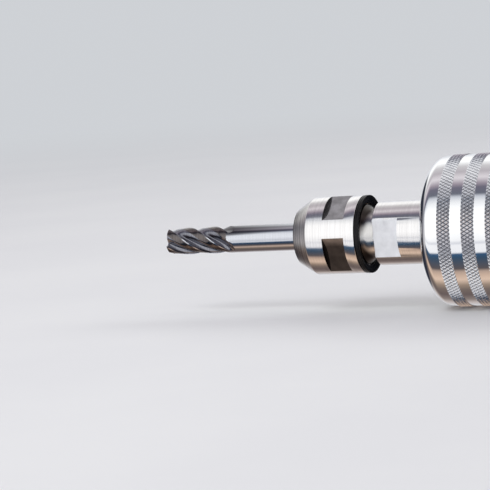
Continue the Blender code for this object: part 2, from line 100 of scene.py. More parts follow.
# The camera's place
CAMERA_AZIMUTH = math.radians(23.28)
CAMERA_ELEVATION = math.radians(5.0)
CAMERA_ROLL = math.radians(4.33)
CAMERA_DISTANCE = 0.8597
CAMERA_LENS = 169.0
AIM_AHEAD_OF_NOSE = 75.3
AIM_BELOW_AXIS = 2.33

# What the polished steel mirrors, by degrees round the chuck's axis: 0 is level with the axis on the camera's
# side, 90 is straight up and 180 is level behind.
MIRRORED = (
    (-180, (0.74, 0.76, 0.80)),
    (-150, (0.62, 0.60, 0.61)),
    (-138, (0.55, 0.48, 0.46)),
    (-125, (0.27, 0.22, 0.20)),
    (-110, (0.15, 0.115, 0.11)),
    (-96, (0.20, 0.155, 0.135)),
    (-86, (0.36, 0.27, 0.21)),
    (-75, (0.78, 0.58, 0.45)),
    (-67, (0.66, 0.48, 0.37)),
    (-60, (0.50, 0.37, 0.30)),
    (-55, (0.11, 0.095, 0.10)),
    (-37, (0.045, 0.085, 0.14)),
    (-31, (0.04, 0.10, 0.20)),
    (-28, (0.96, 0.96, 0.98)),
    (-17, (0.98, 0.98, 1.00)),
    (-14, (0.74, 0.75, 0.80)),
    (-10, (1.02, 1.02, 1.03)),
    (8, (1.20, 1.20, 1.20)),
    (36, (1.16, 1.16, 1.16)),
    (49, (0.90, 0.91, 0.93)),
    (57, (0.62, 0.64, 0.70)),
    (62, (0.15, 0.16, 0.20)),
    (73, (0.17, 0.16, 0.21)),
    (80, (0.36, 0.31, 0.36)),
    (92, (0.78, 0.73, 0.76)),
    (105, (0.52, 0.48, 0.51)),
    (119, (0.66, 0.64, 0.65)),
    (134, (1.15, 1.15, 1.14)),
    (150, (1.10, 1.10, 1.10)),
    (164, (0.80, 0.82, 0.86)),
    (180, (0.74, 0.76, 0.80)),
)
# The same towards the two ends of the axis, by height: -1 is straight down and 1 straight up
MIRRORED_END_ON = (
    (-1.0, (0.30, 0.27, 0.25)),
    (-0.6, (0.14, 0.12, 0.12)),
    (-0.38, (0.20, 0.18, 0.18)),
    (-0.17, (0.58, 0.56, 0.57)),
    (0.02, (0.46, 0.45, 0.48)),
    (0.3, (0.26, 0.26, 0.29)),
    (0.6, (0.62, 0.62, 0.64)),
    (1.0, (0.95, 0.95, 0.95)),
)
BACKDROP = (0.62, 0.64, 0.67)
# Dark cards behind the chuck: direction, and the cosines where the card's soft edge starts and ends
DARK_CARDS = (((0.50, 0.86, -0.08), 0.72, 0.90), ((-0.88, 0.47, -0.05), 0.86, 0.93))


# ---------------------------------------------------------------- meshes


def behind(station):
    """X, in metres, of a place this many millimetres behind the nose."""
    return NOSE + station * MM


def ahead(station):
    """X, in metres, of a place this many millimetres in front of the nose."""
    return NOSE - station * MM


def rounded(corners, steps=4):
    """A closed outline of (x, y, fillet radius) corners, as points with an arc in place of each corner."""
    points = []
    count = len(corners)
    for k, (x, y, radius) in enumerate(corners):
        here = Vector((x, y))
        if not radius:
            points.append((x, y))
            continue
        before = Vector(corners[k - 1][:2]) - here
        after = Vector(corners[(k + 1) % count][:2]) - here
        half = before.angle(after) / 2
        reach = min(radius / math.tan(half), 0.48 * before.length, 0.48 * after.length)
        radius = reach * math.tan(half)
        middle = here + (before.normalized() + after.normalized()).normalized() * radius / math.sin(half)
        start = here + before.normalized() * reach - middle
        end = here + after.normalized() * reach - middle
        sweep = start.angle_signed(end)
        for step in range(steps + 1):
            spoke = start.copy()
            spoke.rotate(Matrix.Rotation(-sweep * step / steps, 2))
            points.append(tuple(middle + spoke))
    return points


def new_object(name, vertices, faces, angle=30):
    """A smooth-shaded mesh object; edges sharper than the angle, in degrees, stay sharp."""
    mesh = bpy.data.meshes.new(name)
    mesh.from_pydata(vertices.tolist(), [], faces)
    mesh.update()
    mesh.shade_smooth()
    mesh.set_sharp_from_angle(angle=math.radians(angle))
    made = bpy.data.objects.new(name, mesh)
    bpy.context.scene.collection.objects.link(made)
    return made


def skin(name, rings, loop, angle=30, triangles=False):
    """Joins rings of points, an array of shape (rings, points, 3).

    A loop joins the last ring to the first; otherwise each end is closed with a point in its middle.
    Triangles split each quad along its lower diagonal.
    """
    rings = np.asarray(rings, float)
    count, sides = rings.shape[:2]
    near = np.arange(count if loop else count - 1)[:, None]
    far = (near + 1) % count
    k = np.arange(sides)[None, :]
    after = (k + 1) % sides
    quads = np.stack([near * sides + k, far * sides + k, far * sides + after, near * sides + after], -1)
    quads = quads.reshape(-1, 4)
    vertices = rings.reshape(-1, 3)
    if triangles:
        height = np.hypot(vertices[:, 1], vertices[:, 2])[quads]
        low = (height[:, 0] + height[:, 2] < height[:, 1] + height[:, 3])[:, None]
        first = np.where(low, quads[:, [0, 1, 2]], quads[:, [0, 1, 3]])
        second = np.where(low, quads[:, [0, 2, 3]], quads[:, [1, 2, 3]])
        faces = np.concatenate([first, second]).tolist()
    else:
        faces = quads.tolist()
    if not loop:
        ends = [rings[0].mean(0), rings[-1].mean(0)]
        vertices = np.concatenate([vertices, ends])
        first_end, last_end = count * sides, count * sides + 1
        last = (count - 1) * sides
        for side in range(sides):
            faces.append([first_end, side, (side + 1) % sides])
            faces.append([last_end, last + (side + 1) % sides, last + side])
    return new_object(name, vertices, faces, angle)


def facing_out(piece):
    """Turns the faces outward, where they come out facing in."""
    bm = bmesh.new()
    bm.from_mesh(piece.data)
    if bm.calc_volume(signed=True) < 0:
        bmesh.ops.reverse_faces(bm, faces=bm.faces)
    bm.to_mesh(piece.data)
    bm.free()
    return piece


def turned(name, outline, place, sides, shape=None, triangles=False):
    """An outline of (station, radius) turned about the axis.

    place turns a station into an X, and shape(stations, radii, angles) may change the radii.
    """
    stations = np.array([point[0] for point in outline])[:, None]
    radii = np.array([point[1] for point in outline])[:, None]
    angles = (np.arange(sides) * math.tau / sides)[None, :]
    if shape:
        radii = shape(stations, radii, angles)
    radii = np.broadcast_to(radii, (len(outline), sides)) * MM
    x = np.broadcast_to(place(stations), radii.shape)
    rings = np.stack([x, radii * np.cos(angles), radii * np.sin(angles)], -1)
    return facing_out(skin(name, rings, True, triangles=triangles))


def box_cutter(low, high, turn=0.0):
    """A box turned about the axis, for cutting with."""
    bm = bmesh.new()
    bmesh.ops.create_cube(bm, size=1.0)
    size = [b - a for a, b in zip(low, high)]
    middle = [(a + b) / 2 for a, b in zip(low, high)]
    placed = Matrix.Rotation(turn, 4, "X") @ Matrix.Translation(middle) @ Matrix.Diagonal((*size, 1.0))
    bmesh.ops.transform(bm, matrix=placed, verts=bm.verts)
    return new_cutter(bm)


def prism_cutter(outline, half_width, turn):
    """An (x, z) outline extruded along Y to both sides and turned about the axis, for cutting with."""
    bm = bmesh.new()
    face = bm.faces.new([bm.verts.new((x, -half_width, z)) for x, z in outline])
    grown = bmesh.ops.extrude_face_region(bm, geom=[face])["geom"]
    moved = [item for item in grown if isinstance(item, bmesh.types.BMVert)]
    bmesh.ops.translate(bm, vec=(0, 2 * half_width, 0), verts=moved)
    bmesh.ops.recalc_face_normals(bm, faces=bm.faces)
    bmesh.ops.transform(bm, matrix=Matrix.Rotation(turn, 4, "X"), verts=bm.verts)
    return new_cutter(bm)


def new_cutter(bm):
    """What the cutter leaves takes the second material slot, and its walls across the axis take the third."""
    bm.normal_update()
    for face in bm.faces:
        face.material_index = 2 if abs(face.normal.x) > 0.9 else 1
    mesh = bpy.data.meshes.new("cutter")
    bm.to_mesh(mesh)
    bm.free()
    made = bpy.data.objects.new("cutter", mesh)
    bpy.context.scene.collection.objects.link(made)
    return made


def apply_modifiers(piece):
    """Makes the piece's modified mesh its own."""
    evaluated = piece.evaluated_get(bpy.context.evaluated_depsgraph_get())
    mesh = bpy.data.meshes.new_from_object(evaluated)
    piece.modifiers.clear()
    piece.data = mesh


def break_edges(piece, width, sharp):
    """Bevels the edges that turn by more than this many degrees."""
    edge = piece.modifiers.new("broken edges", "BEVEL")
    edge.width = width * MM
    edge.segments = 2
    edge.limit_method = "ANGLE"
    edge.angle_limit = math.radians(sharp)


def cut_away(piece, cutters, bevel):
    """Cuts the cutters out of the piece, then breaks the edges that this leaves."""
    # The same number of slots on each keeps the cutters' slots on the faces that they leave
    for item in (piece, *cutters):
        while len(item.data.materials) < 3:
            item.data.materials.append(None)
    for cutter in cutters:
        boolean = piece.modifiers.new("cut", "BOOLEAN")
        boolean.operation = "DIFFERENCE"
        boolean.solver = "EXACT"
        boolean.object = cutter
    bpy.context.view_layer.update()
    apply_modifiers(piece)
    for cutter in cutters:
        bpy.data.objects.remove(cutter, do_unlink=True)
    if bevel:
        break_edges(piece, bevel, 35)
        bpy.context.view_layer.update()
        apply_modifiers(piece)
    piece.data.shade_smooth()
    piece.data.set_sharp_from_angle(angle=math.radians(28))


def mark_faces(piece, start, end, slot):
    """Faces in the first material slot, between two stations in front of the nose, move to another slot."""
    for face in piece.data.polygons:
        if face.material_index == 0 and ahead(end) < face.center.x < ahead(start):
            face.material_index = slot


def stands_for(piece, node, slot, *finishes):
    """The piece takes the CAD node's place and rides on its body.  The last finish fills any spare slots."""
    slots = piece.data.materials
    while len(slots) < len(finishes):
        slots.append(None)
    for k in range(len(slots)):
        slots[k] = finishes[min(k, len(finishes) - 1)]
    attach(piece, frame["nodes"][node]["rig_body"])
    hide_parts(node)


# ---------------------------------------------------------------- materials


def link(tree, source, target):
    tree.links.new(source, target)


def arithmetic(tree, operation, *values):
    """The result of a sum on these sockets and numbers."""
    node = tree.nodes.new("ShaderNodeMath")
    node.operation = operation
    for k, value in enumerate(values):
        if isinstance(value, float):
            node.inputs[k].default_value = value
        else:
            link(tree, value, node.inputs[k])
    return node.outputs["Value"]


def mixed(tree, factor, first, second):
    """Two colours mixed; each is a socket or (red, green, blue)."""
    node = tree.nodes.new("ShaderNodeMix")
    node.data_type = "RGBA"
    link(tree, factor, node.inputs["Factor"])
    for name, colour in (("A", first), ("B", second)):
        if isinstance(colour, tuple):
            node.inputs[name].default_value = (*colour, 1.0)
        else:
            link(tree, colour, node.inputs[name])
    return node.outputs["Result"]


def eased(tree, value, start, end):
    """Rises smoothly from 0 at start to 1 at end."""
    node = tree.nodes.new("ShaderNodeMapRange")
    node.interpolation_type = "SMOOTHSTEP"
    node.inputs["From Min"].default_value = start
    node.inputs["From Max"].default_value = end
    link(tree, value, node.inputs["Value"])
    return node.outputs["Result"]


def object_place(tree):
    """The place on the object, whole and split into X, Y and Z, in metres."""
    where = tree.nodes.new("ShaderNodeTexCoord").outputs["Object"]
    split = tree.nodes.new("ShaderNodeSeparateXYZ")
    link(tree, where, split.inputs["Vector"])
    return where, split.outputs


def length_of(tree, vector):
    """The vector's length."""
    node = tree.nodes.new("ShaderNodeVectorMath")
    node.operation = "LENGTH"
    link(tree, vector, node.inputs[0])
    return node.outputs["Value"]


def new_material(name, colour, metallic, roughness, coat=0.0):
    """A material whose base values are set, with its node tree and shader."""
    made = bpy.data.materials.new(name)
    made.use_nodes = True
    shader = made.node_tree.nodes["Principled BSDF"]
    shader.inputs["Base Color"].default_value = (*colour, 1.0)
    shader.inputs["Metallic"].default_value = metallic
    shader.inputs["Roughness"].default_value = roughness
    shader.inputs["Coat Weight"].default_value = coat
    shader.inputs["Coat Roughness"].default_value = 0.08
    return made, made.node_tree, shader


def noise(tree, stretch, detail=4.0, distortion=0.0):
    """Noise in the object's own metres, with this many features to the metre along X, Y and Z."""
    where = tree.nodes.new("ShaderNodeTexCoord")
    mapping = tree.nodes.new("ShaderNodeMapping")
    mapping.inputs["Scale"].default_value = stretch
    texture = tree.nodes.new("ShaderNodeTexNoise")
    texture.inputs["Scale"].default_value = 1.0
    texture.inputs["Detail"].default_value = detail
    texture.inputs["Distortion"].default_value = distortion
    link(tree, where.outputs["Object"], mapping.inputs["Vector"])
    link(tree, mapping.outputs["Vector"], texture.inputs["Vector"])
    return texture.outputs["Fac"]


def spread(tree, value, low, high, start=0.3, end=0.7):
    """Maps a value between start and end, or most of a noise's range, to the range from low to high."""
    node = tree.nodes.new("ShaderNodeMapRange")
    node.inputs["From Min"].default_value = start
    node.inputs["From Max"].default_value = end
    node.inputs["To Min"].default_value = low
    node.inputs["To Max"].default_value = high
    link(tree, value, node.inputs["Value"])
    return node.outputs["Result"]


def two_tone(tree, value, dark, light, start=0.35, end=0.65):
    """Maps a noise value to colours from dark to light."""
    node = tree.nodes.new("ShaderNodeValToRGB")
    node.color_ramp.elements[0].position = start
    node.color_ramp.elements[0].color = (*dark, 1.0)
    node.color_ramp.elements[1].position = end
    node.color_ramp.elements[1].color = (*light, 1.0)
    link(tree, value, node.inputs["Fac"])
    return node.outputs["Color"]


def add_bump(tree, shader, value, height):
    """Relief of this height in metres."""
    node = tree.nodes.new("ShaderNodeBump")
    node.inputs["Strength"].default_value = 1.0
    node.inputs["Distance"].default_value = height
    link(tree, value, node.inputs["Height"])
    link(tree, node.outputs["Normal"], shader.inputs["Normal"])


def turned_metal(name, dark, light, roughness, ring_height, rings=5200.0):
    """Metal with fine rings left by turning or grinding, and uneven gloss."""
    made, tree, shader = new_material(name, light, 1.0, roughness)
    streaks = noise(tree, (rings, 40.0, 40.0), detail=3.0)
    blotches = noise(tree, (140.0, 140.0, 140.0), detail=5.0)
    link(tree, two_tone(tree, streaks, dark, light, 0.3, 0.6), shader.inputs["Base Color"])
    link(tree, spread(tree, blotches, roughness * 0.75, roughness * 1.35), shader.inputs["Roughness"])
    add_bump(tree, shader, streaks, ring_height)
    return made


def cove_metal():
    """Turned steel with painted shade, darkest near the thread and the black ring, and reaching further at the
    top and underneath.
    """
    made, tree, shader = new_material("cove_steel", (0.7, 0.69, 0.68), 1.0, 0.15)
    _, place = object_place(tree)
    cloud = noise(tree, (300.0, 220.0, 220.0), detail=5.0)
    # Painted shade: darker towards the thread end, reaching further at the top and underneath, with a ragged
    # edge
    ragged = arithmetic(tree, "MULTIPLY_ADD", cloud, 1.2 * MM, place["X"])
    off_level = arithmetic(tree, "ABSOLUTE", place["Z"])
    reach = arithmetic(tree, "MULTIPLY_ADD", off_level, -0.4, ragged)
    clear_of_painted_shade = eased(tree, reach, ahead(26.9), ahead(23.1))
    shade = two_tone(tree, clear_of_painted_shade, (0.05, 0.042, 0.038), (0.64, 0.63, 0.62), 0.05, 0.95)
    link(tree, shade, shader.inputs["Base Color"])
    streaks = noise(tree, (5200.0, 60.0, 60.0), detail=3.0)
    link(tree, spread(tree, streaks, 0.12, 0.24), shader.inputs["Roughness"])
    add_bump(tree, shader, streaks, 3e-6)
    return made


def milled_metal(name, dark, light, roughness, height, metallic=1.0, shade_below_axis=0.0):
    """Flat-milled metal: overlapping arcs of the cutter, seen as short uneven strokes.

    Below the axis painted shade of this strength can darken it.
    """
    made, tree, shader = new_material(name, light, metallic, roughness)
    strokes = noise(tree, (2600.0, 500.0, 500.0), detail=2.0, distortion=0.8)
    cloud = noise(tree, (260.0, 260.0, 260.0), detail=6.0)
    colour = two_tone(tree, cloud, dark, light)
    if shade_below_axis:
        # Painted shade: darker below the axis
        _, place = object_place(tree)
        painted_shade_below = spread(tree, place["Z"], 0.0, shade_below_axis, 2 * MM, -3 * MM)
        colour = mixed(tree, painted_shade_below, colour, (0.0, 0.001, 0.004))
    link(tree, colour, shader.inputs["Base Color"])
    link(tree, spread(tree, strokes, roughness * 0.85, roughness * 1.2), shader.inputs["Roughness"])
    add_bump(tree, shader, strokes, height)
    return made


def metal_with_painted_top_shade(name, dark, light, roughness, rings, front, rear):
    """The mill's ground metal, with painted shade along its top: a dark band standing in for the dark
    surroundings mirrored there.

    front and rear are places ahead of the nose, each with the painted shade's strength there.  The shade's
    lower edge rises towards the nut.
    """
    made, tree, shader = new_material(name, light, 1.0, roughness)
    streaks = noise(tree, (rings, 40.0, 40.0), detail=3.0)
    _, place = object_place(tree)
    # Painted shade: a dark band along the top, whose lower edge rises towards the nut
    rise = 0.035
    height = arithmetic(tree, "MULTIPLY_ADD", place["X"], -rise, place["Z"])
    edge = 1.7 * MM - rise * ahead(78)
    painted_top_shade = eased(tree, height, edge - 0.3 * MM, edge + 0.7 * MM)
    strength = spread(tree, place["X"], front[1], rear[1], ahead(front[0]), ahead(rear[0]))
    painted_shade_amount = arithmetic(tree, "MULTIPLY", painted_top_shade, strength)
    clean = two_tone(tree, streaks, dark, light, 0.3, 0.6)
    link(tree, mixed(tree, painted_shade_amount, clean, (0.06, 0.056, 0.062)), shader.inputs["Base Color"])
    blotches = noise(tree, (140.0, 140.0, 140.0), detail=5.0)
    link(tree, spread(tree, blotches, roughness * 0.75, roughness * 1.35), shader.inputs["Roughness"])
    add_bump(tree, shader, streaks, 3e-6)
    return made


def chrome_plate():
    """Polished plating with faint smears, and not quite flat."""
    made, tree, shader = new_material("chrome_plate", (0.90, 0.91, 0.93), 1.0, 0.05)
    smears = noise(tree, (90.0, 60.0, 60.0), detail=6.0)
    ripple = noise(tree, (34.0, 34.0, 34.0), detail=1.0)
    link(tree, two_tone(tree, smears, (0.86, 0.87, 0.89), (0.93, 0.94, 0.95)), shader.inputs["Base Color"])
    link(tree, spread(tree, smears, 0.035, 0.085), shader.inputs["Roughness"])
    add_bump(tree, shader, ripple, 8e-5)
    return made


def knurled_plate(name, radius):
    """The plating in the knurling of this radius: duller, and worn bright in places."""
    made, tree, shader = new_material(name, (0.66, 0.67, 0.70), 1.0, 0.2)
    wear = noise(tree, (420.0, 420.0, 420.0), detail=5.0)
    grime = noise(tree, (2400.0, 2400.0, 2400.0), detail=3.0)
    # The grooves are darker, so the colour follows the distance from the axis
    where, _ = object_place(tree)
    across = tree.nodes.new("ShaderNodeVectorMath")
    across.operation = "MULTIPLY"
    across.inputs[1].default_value = (0.0, 1.0, 1.0)
    link(tree, where, across.inputs[0])
    spoke = length_of(tree, across.outputs["Vector"])
    groove, crest = (radius - KNURL_DEPTH) * MM, (radius - 0.3 * KNURL_DEPTH) * MM
    height = spread(tree, spoke, 0.0, 1.0, groove, crest)
    clean = two_tone(tree, wear, (0.68, 0.69, 0.72), (0.88, 0.89, 0.92))
    link(tree, mixed(tree, height, (0.19, 0.19, 0.215), clean), shader.inputs["Base Color"])
    link(tree, spread(tree, wear, 0.16, 0.30), shader.inputs["Roughness"])
    add_bump(tree, shader, grime, 1e-5)
    return made


def black_oxide():
    """Blackened steel, a little rubbed."""
    made, tree, shader = new_material("black_oxide", (0.014, 0.013, 0.014), 0.0, 0.3, coat=0.02)
    shader.inputs["Specular IOR Level"].default_value = 0.12
    rub = noise(tree, (1500.0, 90.0, 90.0), detail=5.0)
    rubbed = two_tone(tree, rub, (0.006, 0.006, 0.007), (0.022, 0.020, 0.019), 0.4, 0.8)
    link(tree, rubbed, shader.inputs["Base Color"])
    link(tree, spread(tree, rub, 0.2, 0.36), shader.inputs["Roughness"])
    add_bump(tree, shader, rub, 1e-5)
    return made


def moulded_rubber():
    """Black rubber with a fine moulded grain."""
    made, tree, shader = new_material("moulded_rubber", (0.02, 0.02, 0.02), 0.0, 0.6)
    grain = noise(tree, (1800.0, 1800.0, 1800.0), detail=3.0)
    link(tree, spread(tree, grain, 0.5, 0.75), shader.inputs["Roughness"])
    mottled = two_tone(tree, grain, (0.014, 0.014, 0.015), (0.032, 0.031, 0.030))
    link(tree, mottled, shader.inputs["Base Color"])
    add_bump(tree, shader, grain, 3e-5)
    return made


# ---------------------------------------------------------------- stage


def make_camera():
    """A long lens looking at the held tool and the front of the hood."""
    azimuth, elevation = CAMERA_AZIMUTH, CAMERA_ELEVATION
    back = Vector(
        (
            math.sin(azimuth) * math.cos(elevation),
            -math.cos(azimuth) * math.cos(elevation),
            math.sin(elevation),
        )
    )
    level = Vector((math.cos(azimuth), math.sin(azimuth), 0.0))
    facing = Matrix((level, back.cross(level), back)).transposed()
    facing = facing @ Matrix.Rotation(-CAMERA_ROLL, 3, "Z")
    aim = Vector((ahead(AIM_AHEAD_OF_NOSE), 0.0, 0.0)) - facing.col[1] * AIM_BELOW_AXIS * MM
    camera = bpy.data.objects.new("camera", bpy.data.cameras.new("camera"))
    camera.data.lens = CAMERA_LENS
    camera.data.sensor_width = 36.0
    camera.data.clip_start = 0.05
    camera.matrix_world = Matrix.LocRotScale(aim + back * CAMERA_DISTANCE, facing.to_quaternion(), None)
    bpy.context.scene.collection.objects.link(camera)
    bpy.context.scene.camera = camera


def colour_ramp(tree, value, stops):
    """A ramp with these (position, colour) stops."""
    node = tree.nodes.new("ShaderNodeValToRGB")
    elements = node.color_ramp.elements
    for position, colour in stops[1:-1]:
        elements.new(position).color = (*colour, 1.0)
    elements[0].color = (*stops[0][1], 1.0)
    elements[len(elements) - 1].color = (*stops[-1][1], 1.0)
    link(tree, value, node.inputs["Fac"])
    return node.outputs["Color"]


def dark_card(tree, where, shown, direction, start, end):
    """The colour shown, with a soft-edged dark card in this direction."""
    toward = tree.nodes.new("ShaderNodeVectorMath")
    toward.operation = "DOT_PRODUCT"
    toward.inputs[1].default_value = direction
    link(tree, where, toward.inputs[0])
    return mixed(tree, eased(tree, toward.outputs["Value"], start, end), shown, (0.03, 0.034, 0.05))


def make_world():
    """A studio whose walls change with the angle round the chuck's axis.  Seen directly, it is one tone."""
    world = bpy.data.worlds.new("studio")
    bpy.context.scene.world = world
    world.use_nodes = True
    tree = world.node_tree
    where = tree.nodes.new("ShaderNodeTexCoord").outputs["Generated"]
    split = tree.nodes.new("ShaderNodeSeparateXYZ")
    link(tree, where, split.inputs["Vector"])
    toward = arithmetic(tree, "MULTIPLY", split.outputs["Y"], -1.0)
    angle = arithmetic(tree, "ARCTAN2", split.outputs["Z"], toward)
    turn = spread(tree, angle, 0.0, 1.0, -math.pi, math.pi)
    bands_round = colour_ramp(tree, turn, [((d + 180) / 360, colour) for d, colour in MIRRORED])
    # Towards the two ends of the axis the bands would crowd together, so they fade to other ones
    height = spread(tree, split.outputs["Z"], 0.0, 1.0, -1.0, 1.0)
    bands_end_on = colour_ramp(tree, height, [((z + 1) / 2, colour) for z, colour in MIRRORED_END_ON])
    end_on = eased(tree, arithmetic(tree, "ABSOLUTE", split.outputs["X"]), 0.86, 0.985)
    shown = mixed(tree, end_on, bands_round, bands_end_on)
    for direction, start, end in DARK_CARDS:
        shown = dark_card(tree, where, shown, direction, start, end)
    path = tree.nodes.new("ShaderNodeLightPath")
    seen = mixed(tree, path.outputs["Is Camera Ray"], shown, BACKDROP)
    link(tree, seen, tree.nodes["Background"].inputs["Color"])


def make_light(name, place, aim, size, power):
    """A soft rectangle of light.  It is left out of reflections, which show the studio instead."""
    light = bpy.data.lights.new(name, "AREA")
    light.shape = "RECTANGLE"
    light.size, light.size_y = size
    light.energy = power
    made = bpy.data.objects.new(name, light)
    direction = Vector(aim) - Vector(place)
    made.matrix_world = Matrix.LocRotScale(Vector(place), direction.to_track_quat("-Z", "Y"), None)
    made.visible_camera = False
    made.visible_glossy = False
    bpy.context.scene.collection.objects.link(made)


def make_floor():
    """A plain pale floor under the chuck.  It is left out of reflections, which show the studio instead."""
    reach = 8.0
    height = CAD_LOW.z
    corners = [(x * reach, y * reach, height) for x, y in ((-1, -1), (1, -1), (1, 1), (-1, 1))]
    floor = new_object("floor", np.array(corners), [(0, 1, 2, 3)])
    made, tree, shader = new_material("pale_floor", (0.78, 0.79, 0.80), 0.0, 0.7)
    mottle = noise(tree, (9.0, 9.0, 9.0), detail=3.0)
    link(tree, two_tone(tree, mottle, (0.765, 0.775, 0.79), (0.79, 0.80, 0.81)), shader.inputs["Base Color"])
    # Far from the chuck the floor turns into the backdrop, so that no horizon shows
    where, _ = object_place(tree)
    far = eased(tree, length_of(tree, where), 0.3, 2.4)
    glow = tree.nodes.new("ShaderNodeEmission")
    glow.inputs["Color"].default_value = (*BACKDROP, 1.0)
    mix = tree.nodes.new("ShaderNodeMixShader")
    link(tree, far, mix.inputs["Fac"])
    link(tree, shader.outputs["BSDF"], mix.inputs[1])
    link(tree, glow.outputs["Emission"], mix.inputs[2])
    link(tree, mix.outputs["Shader"], tree.nodes["Material Output"].inputs["Surface"])
    floor.data.materials.append(made)
    floor.visible_glossy = False


def make_stage():
    make_camera()
    make_world()
    middle = (ahead(20.0), 0.0, 0.0)
    make_light("key", (-0.5, -0.7, 1.0), middle, (0.9, 0.6), 5.0)
    make_light("back", (0.3, 0.9, 0.7), middle, (0.9, 0.4), 2.5)
    make_floor()
    bpy.context.scene.view_settings.view_transform = "Standard"


# ---------------------------------------------------------------- the chuck


def triangle_wave(value):
    """0 at whole numbers, 1 half-way between them."""
    return 1.0 - np.abs(2.0 * (value - np.floor(value)) - 1.0)


def knurled(starts):
    """A shape for turned() that rolls diamond knurling into the bands that start at these stations."""

    def shape(stations, radii, angles):
        shaped = np.broadcast_to(radii, (len(stations), angles.shape[1])).copy()
        slack = 1e-6
        for start in starts:
            inside = (stations >= start - slack) & (stations <= start + KNURL_WIDTH + slack)
            across = (stations - start) / KNURL_WIDTH * KNURL_COLUMNS / 2
            around = angles / math.tau * KNURL_COUNT
            groove = np.minimum(triangle_wave(around + across), triangle_wave(around - across))
            tooth = np.minimum(1.0, groove * 1.5)
            shaped = np.where(inside, radii - KNURL_DEPTH * (1.0 - tooth), shaped)
        return shaped

    return shape


def bands(starts, radius, end):
    """Outline points for knurled bands, with the polished metal between them lying a little lower."""
    low = radius - KNURL_RELIEF
    rows = KNURL_COLUMNS * KNURL_FINE
    points = []
    for start in starts:
        points += [(start - KNURL_RELIEF - 0.25, low), (start - 0.08, low)]
        points += [(start + KNURL_WIDTH * row / rows, radius) for row in range(rows + 1)]
        points += [(start + KNURL_WIDTH + 0.08, low), (start + KNURL_WIDTH + KNURL_RELIEF + 0.25, low)]
    return points + [(end, low)]


def finish_bands(piece, starts):
    """The knurled bands take the second finish."""
    centres = np.empty(3 * len(piece.data.polygons))
    piece.data.polygons.foreach_get("center", centres)
    centres = centres.reshape(-1, 3)
    stations = (centres[:, 0] - NOSE) / MM
    bore_side = 25.5 * MM
    inside = np.zeros(len(stations), bool)
    for start in starts:
        inside |= (stations > start) & (stations < start + KNURL_WIDTH)
    inside &= np.hypot(centres[:, 1], centres[:, 2]) > bore_side
    piece.data.polygons.foreach_set("material_index", inside.astype(np.int32))


def make_hood(plate):
    """The domed front shell, hollow inside, with three knurled bands."""
    starts = (8.9, 17.7, 26.5)
    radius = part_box("hood")[1].z / MM
    steps = 26
    dome_start, dome_radius, dome_length = 17.1, 26.9, 6.0
    dome = []
    for step in range(steps + 1):
        angle = step * math.pi / 2 / steps
        across = dome_start + (dome_radius - dome_start) * math.sin(angle)
        dome.append((dome_length * (1 - math.cos(angle)), across))
    length = (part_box("hood")[1].x - NOSE) / MM
    lip = [(0.0, 12.1), (0.0, 13.0), (0.0, 15.0)]
    tail = [(length - 0.5, radius - 0.4), (length - 0.15, radius - 0.65), (length, radius - 1.0)]
    inside = [(length, 24.8), (33.0, 24.8), (33.0, 20.6), (2.6, 9.6), (0.5, 11.3), (0.15, 11.65)]
    outline = lip + dome + bands(starts, radius, length - 1.2) + tail + inside
    hood = turned("hood_shell", outline, behind, KNURL_SIDES, shape=knurled(starts), triangles=True)
    stands_for(hood, "hood", "chrome", plate, knurled_plate("knurled_hood_plate", radius))
    finish_bands(hood, starts)


def make_grip_sleeve(plate):
    """The rear shell, with a spigot into the hood, three knurled bands and a groove for the seal."""
    starts = (62.0, 70.8, 79.6)
    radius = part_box("grip_sleeve")[1].z / MM
    spigot, inner, tail_bore = 24.5, 21.0, 15.4
    front = 56.3
    bend_angles = np.linspace(0.12, 1.35, 16)
    bend = [(89.0 + 6.0 * math.sin(a), radius - 5.2 + 4.95 * math.cos(a)) for a in bend_angles]
    outline = (
        [(45.0, inner), (45.0, spigot - 0.6), (45.6, spigot), (front, spigot)]
        + [(front, radius - 0.9), (front + 0.12, radius - 0.6), (front + 0.5, radius - 0.33)]
        + bands(starts, radius, 88.0)
        + bend
        + [(95.0, 21.5), (95.0, tail_bore), (90.3, tail_bore), (90.3, 17.2), (88.0, 17.2), (88.0, tail_bore)]
        + [(74.7, tail_bore), (74.7, inner)]
    )
    sleeve = turned("grip_sleeve_shell", outline, behind, KNURL_SIDES, shape=knurled(starts), triangles=True)
    stands_for(sleeve, "grip_sleeve", "chrome", plate, knurled_plate("knurled_sleeve_plate", radius))
    finish_bands(sleeve, starts)


def make_chuck_body(steel, flats):
    """The core.  Its rear end, with two spanner flats, shows behind the dust ring."""
    rear = 104.0
    corners = [
        (49.0, 10.3, 0.2),
        (49.0, 15.0, 0.8),
        (61.0, 15.0, 0),
        (61.0, 20.2, 0.3),
        (66.0, 20.2, 0.3),
        (66.0, 15.0, 0),
        (97.9, 15.0, 0.1),
        (97.9, 14.0, 0),
        (99.5, 14.0, 0),
        (99.5, 15.0, 0.15),
        (rear, 15.0, 0.9),
        (rear, 9.2, 0.3),
        (71.5, 8.35, 0),
        (71.5, 4.0, 0),
        (70.0, 4.0, 0),
        (70.0, 10.3, 0),
    ]
    body = turned("chuck_core", rounded(corners), behind, 144)
    low = (behind(100.2), -CUT_REACH, 13.0 * MM)
    high = (behind(rear + 1), CUT_REACH, CUT_REACH)
    cutters = [box_cutter(low, high, turn) for turn in (0.0, math.pi)]
    cut_away(body, cutters, bevel=0.15)
    stands_for(body, "chuck_body", "plain_steel", steel, flats)


